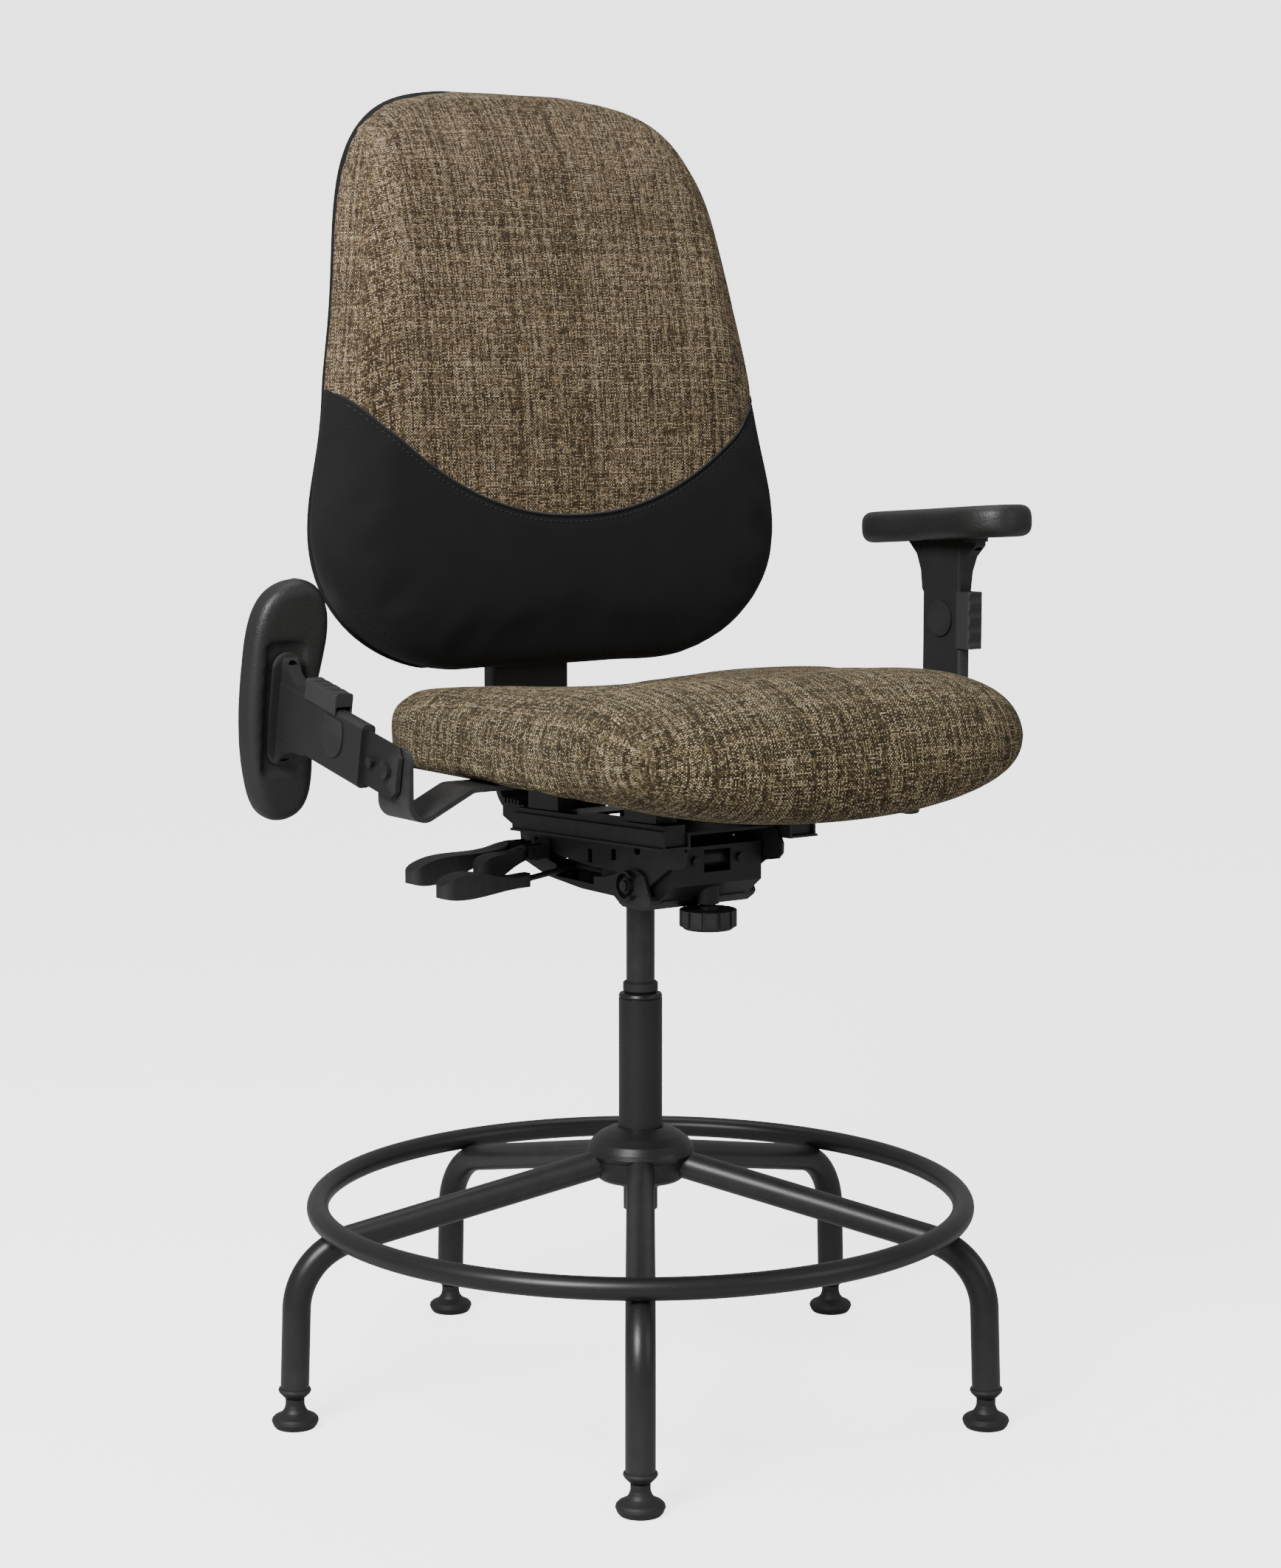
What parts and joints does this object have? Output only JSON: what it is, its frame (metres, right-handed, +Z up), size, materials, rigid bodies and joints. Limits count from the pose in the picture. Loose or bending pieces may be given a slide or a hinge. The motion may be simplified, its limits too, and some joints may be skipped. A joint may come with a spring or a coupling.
{
  "type": "drafting chair",
  "caption": "Tall swivel drafting chair: bent-tube base with a foot ring, gas lift, tilting seat with levers, padded saddle seat, high back and swing-back arms.",
  "frame": {"origin": "on the floor, on the axis of the lift column", "axes": "+Z up along the lift column; the sitter faces -Y; +X is the sitter's left"},
  "size_m": [0.7508, 0.7538, 1.3366],
  "materials": {
    "base_powder_coat": "satin black powder coat",
    "frame_powder_coat": "low-sheen black powder coat",
    "black_plastic": "fine-grained matte",
    "lift_steel": "satin black",
    "dark_hardware": "black-oxide hardware, low sheen",
    "bumper_rubber": "matte",
    "tweed_fabric": "basket-weave tweed in cream, tan and brown; the lower back is black twill",
    "arm_pad_polyurethane": "grained integral-skin foam"
  },
  "bodies": {
    "base": {"hub": "base_powder_coat", "leg_tube_1": "base_powder_coat", "leg_tube_2": "base_powder_coat", "leg_tube_3": "base_powder_coat", "leg_tube_4": "base_powder_coat", "leg_tube_5": "base_powder_coat", "foot_ring": "base_powder_coat", "leg_ferrules": "black_plastic", "column_tube": "base_powder_coat", "guide_bushing": "black_plastic", "thrust_bearing": "dark_hardware"},
    "rod": {"piston_rod": "dark_hardware", "rod_clip": "dark_hardware", "rod_bumper": "bumper_rubber"},
    "chassis": {"lift_cylinder": "lift_steel", "mech_housing": "frame_powder_coat", "pivot_bolts": "dark_hardware", "pivot_clips": "dark_hardware", "lever_pins": "dark_hardware", "torsion_tube": "dark_hardware"},
    "release": {"release_pin": "dark_hardware"},
    "height_lever": {"height_lever_grip": "black_plastic", "height_lever_rod": "dark_hardware"},
    "tilt_lever": {"tilt_lever": "black_plastic"},
    "back_lever": {"back_lever": "black_plastic"},
    "tension": {"tension_knob": "black_plastic", "tension_screw": "dark_hardware"},
    "seat_frame": {"tilt_frame": "frame_powder_coat", "fixed_rails": "frame_powder_coat"},
    "carriage": {"moving_rails": "frame_powder_coat", "seat_mounts": "frame_powder_coat", "seat_pan": "black_plastic", "seat_cushion": "tweed_fabric", "arm_bracket_left": "frame_powder_coat", "arm_bracket_right": "frame_powder_coat", "arm_pivot_bolts": "dark_hardware", "slide_lever_hanger": "frame_powder_coat"},
    "slide_lever": {"slide_lever": "black_plastic"},
    "back_arm": {"back_carrier": "frame_powder_coat", "back_bar": "frame_powder_coat", "bar_boot": "black_plastic"},
    "back": {"back_shell": "black_plastic", "back_cushion": "tweed_fabric", "back_carriage": "black_plastic"},
    "back_height_knob": {"back_height_knob": "black_plastic"},
    "arm_left": {"arm_bar_left": "frame_powder_coat"},
    "arm_right": {"arm_bar_right": "frame_powder_coat"},
    "armrest_left": {"arm_sleeve_left": "black_plastic", "arm_pad_left": "arm_pad_polyurethane", "arm_pad_screws_left": "dark_hardware"},
    "armrest_right": {"arm_sleeve_right": "black_plastic", "arm_pad_right": "arm_pad_polyurethane", "arm_pad_screws_right": "dark_hardware"},
    "trigger_left": {"arm_trigger_left": "black_plastic"},
    "trigger_right": {"arm_trigger_right": "black_plastic"},
    "glide_1": {"glide_1": "black_plastic"},
    "glide_2": {"glide_2": "black_plastic"},
    "glide_3": {"glide_3": "black_plastic"},
    "glide_4": {"glide_4": "black_plastic"},
    "glide_5": {"glide_5": "black_plastic"}
  },
  "joints": [
    {"name": "glide_turn_1", "type": "hinge", "parent": "base", "child": "glide_1", "pos_m": [-0.20787, -0.29686, 0.03], "axis": [0, 0, 1], "continuous": true},
    {"name": "glide_turn_2", "type": "hinge", "parent": "base", "child": "glide_2", "pos_m": [0.2181, -0.28943, 0.03], "axis": [0, 0, 1], "continuous": true},
    {"name": "glide_turn_3", "type": "hinge", "parent": "base", "child": "glide_3", "pos_m": [0.34266, 0.11799, 0.03], "axis": [0, 0, 1], "continuous": true},
    {"name": "glide_turn_4", "type": "hinge", "parent": "base", "child": "glide_4", "pos_m": [-0.00632, 0.36235, 0.03], "axis": [0, 0, 1], "continuous": true},
    {"name": "glide_turn_5", "type": "hinge", "parent": "base", "child": "glide_5", "pos_m": [-0.34657, 0.10596, 0.03], "axis": [0, 0, 1], "continuous": true},
    {"name": "seat_swivel", "type": "hinge", "parent": "base", "child": "rod", "pos_m": [0, 0, 0.2], "axis": [0, 0, 1], "continuous": true},
    {"name": "seat_height", "type": "slide", "parent": "rod", "child": "chassis", "axis": [0, 0, 1], "range_m": [-0.075, 0.065]},
    {"name": "height_lever_lift", "type": "hinge", "parent": "chassis", "child": "height_lever", "pos_m": [-0.044, 0, 0.548], "axis": [0, 1, 0], "range_deg": [0, 3.9], "stiffness_Nm_per_rad": 6, "springref_deg": -5.73},
    {"name": "release_pin_press", "type": "slide", "parent": "chassis", "child": "release", "axis": [0, 0, 1], "range_m": [-0.003, 0], "stiffness_N_per_m": 400, "springref_m": 0.002},
    {"name": "tilt_lever_lift", "type": "hinge", "parent": "chassis", "child": "tilt_lever", "pos_m": [-0.082, 0.112, 0.561], "axis": [0, 1, 0], "range_deg": [0, 8], "stiffness_Nm_per_rad": 2, "springref_deg": -8.59},
    {"name": "back_lever_lift", "type": "hinge", "parent": "chassis", "child": "back_lever", "pos_m": [-0.082, 0.078, 0.561], "axis": [0, 1, 0], "range_deg": [0, 8], "stiffness_Nm_per_rad": 2, "springref_deg": -8.59},
    {"name": "tension_turn", "type": "hinge", "parent": "chassis", "child": "tension", "pos_m": [0, -0.116, 0.51], "axis": [0, 0, 1], "continuous": true},
    {"name": "seat_tilt", "type": "hinge", "parent": "chassis", "child": "seat_frame", "pos_m": [0, -0.072, 0.544], "axis": [1, 0, 0], "range_deg": [-3, 3]},
    {"name": "seat_slide", "type": "slide", "parent": "seat_frame", "child": "carriage", "axis": [0, -0.9993, 0.0366], "range_m": [0, 0.05]},
    {"name": "slide_lever_lift", "type": "hinge", "parent": "carriage", "child": "slide_lever", "pos_m": [0.13, -0.092, 0.639], "axis": [0, -1, 0], "range_deg": [0, 7], "stiffness_Nm_per_rad": 3, "springref_deg": -8.59},
    {"name": "back_recline", "type": "hinge", "parent": "chassis", "child": "back_arm", "pos_m": [0, 0.095, 0.556], "axis": [1, 0, 0], "range_deg": [-12, 2]},
    {"name": "back_height", "type": "slide", "parent": "back_arm", "child": "back", "axis": [0, 0, 1], "range_m": [-0.005, 0.06]},
    {"name": "back_height_knob_turn", "type": "hinge", "parent": "back", "child": "back_height_knob", "pos_m": [0, 0.234, 0.85], "axis": [0, 1, 0], "continuous": true},
    {"name": "arm_swing_left", "type": "hinge", "parent": "carriage", "child": "arm_left", "pos_m": [0.337, -0.0743, 0.6776], "axis": [1, 0, 0], "range_deg": [-78.7, 0]},
    {"name": "arm_swing_right", "type": "hinge", "parent": "carriage", "child": "arm_right", "pos_m": [-0.337, -0.0743, 0.6776], "axis": [1, 0, 0], "range_deg": [0, 78.7]},
    {"name": "arm_height_left", "type": "slide", "parent": "arm_left", "child": "armrest_left", "axis": [0, 0, 1], "range_m": [0, 0.075]},
    {"name": "arm_height_right", "type": "slide", "parent": "arm_right", "child": "armrest_right", "axis": [0, 0.9806, 0.196], "range_m": [-0.009, 0.066]},
    {"name": "arm_trigger_left_press", "type": "slide", "parent": "armrest_left", "child": "trigger_left", "axis": [0, 1, 0], "range_m": [0, 0.003], "stiffness_N_per_m": 600, "springref_m": -0.003},
    {"name": "arm_trigger_right_press", "type": "slide", "parent": "armrest_right", "child": "trigger_right", "axis": [0, 0.196, -0.9806], "range_m": [0, 0.003], "stiffness_N_per_m": 600, "springref_m": -0.003}
  ],
  "couplings": [
    {"joint": "release_pin_press", "follows": "height_lever_lift", "m_per_rad": -0.044}
  ]
}
